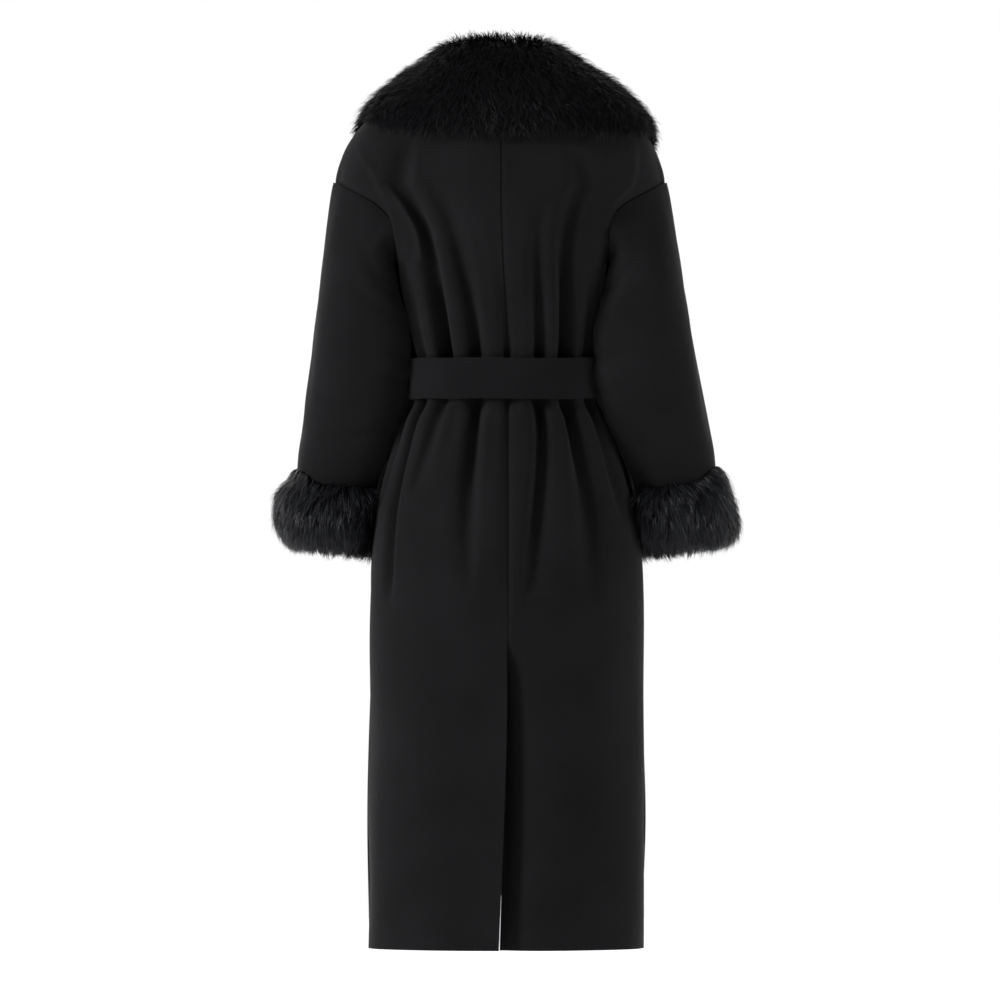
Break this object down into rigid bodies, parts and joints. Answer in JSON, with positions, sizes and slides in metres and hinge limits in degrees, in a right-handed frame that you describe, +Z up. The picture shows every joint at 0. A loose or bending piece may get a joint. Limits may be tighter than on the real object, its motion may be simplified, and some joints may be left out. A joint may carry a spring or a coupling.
{
  "type": "belted coat with fur collar and cuffs",
  "caption": "Long belted wool coat with a fur shawl collar and turned-back fur cuffs, hollow as when worn, with a centre back vent.",
  "frame": {"origin": "middle of the neck opening at the level of the nape seam, where the wearer's neck and shoulders hold the coat up", "axes": "+Z up, the coat's front faces -Y, the wearer's left sleeve is on the +X side"},
  "size_m": [0.6392, 0.3037, 1.2526],
  "materials": {
    "wool": "felted double-faced wool",
    "belt": "felted double-faced wool",
    "fur": "long soft fur"
  },
  "bodies": {
    "root": {"back_left": "wool", "back_right": "wool", "front_left": "wool", "front_right": "wool", "sleeve_left": "wool", "sleeve_right": "wool", "belt_band": "belt", "belt_knot": "belt", "belt_tail_left": "belt", "belt_tail_right": "belt", "fur_collar": "fur", "fur_cuff_left": "fur", "fur_cuff_right": "fur"}
  },
  "joints": []
}
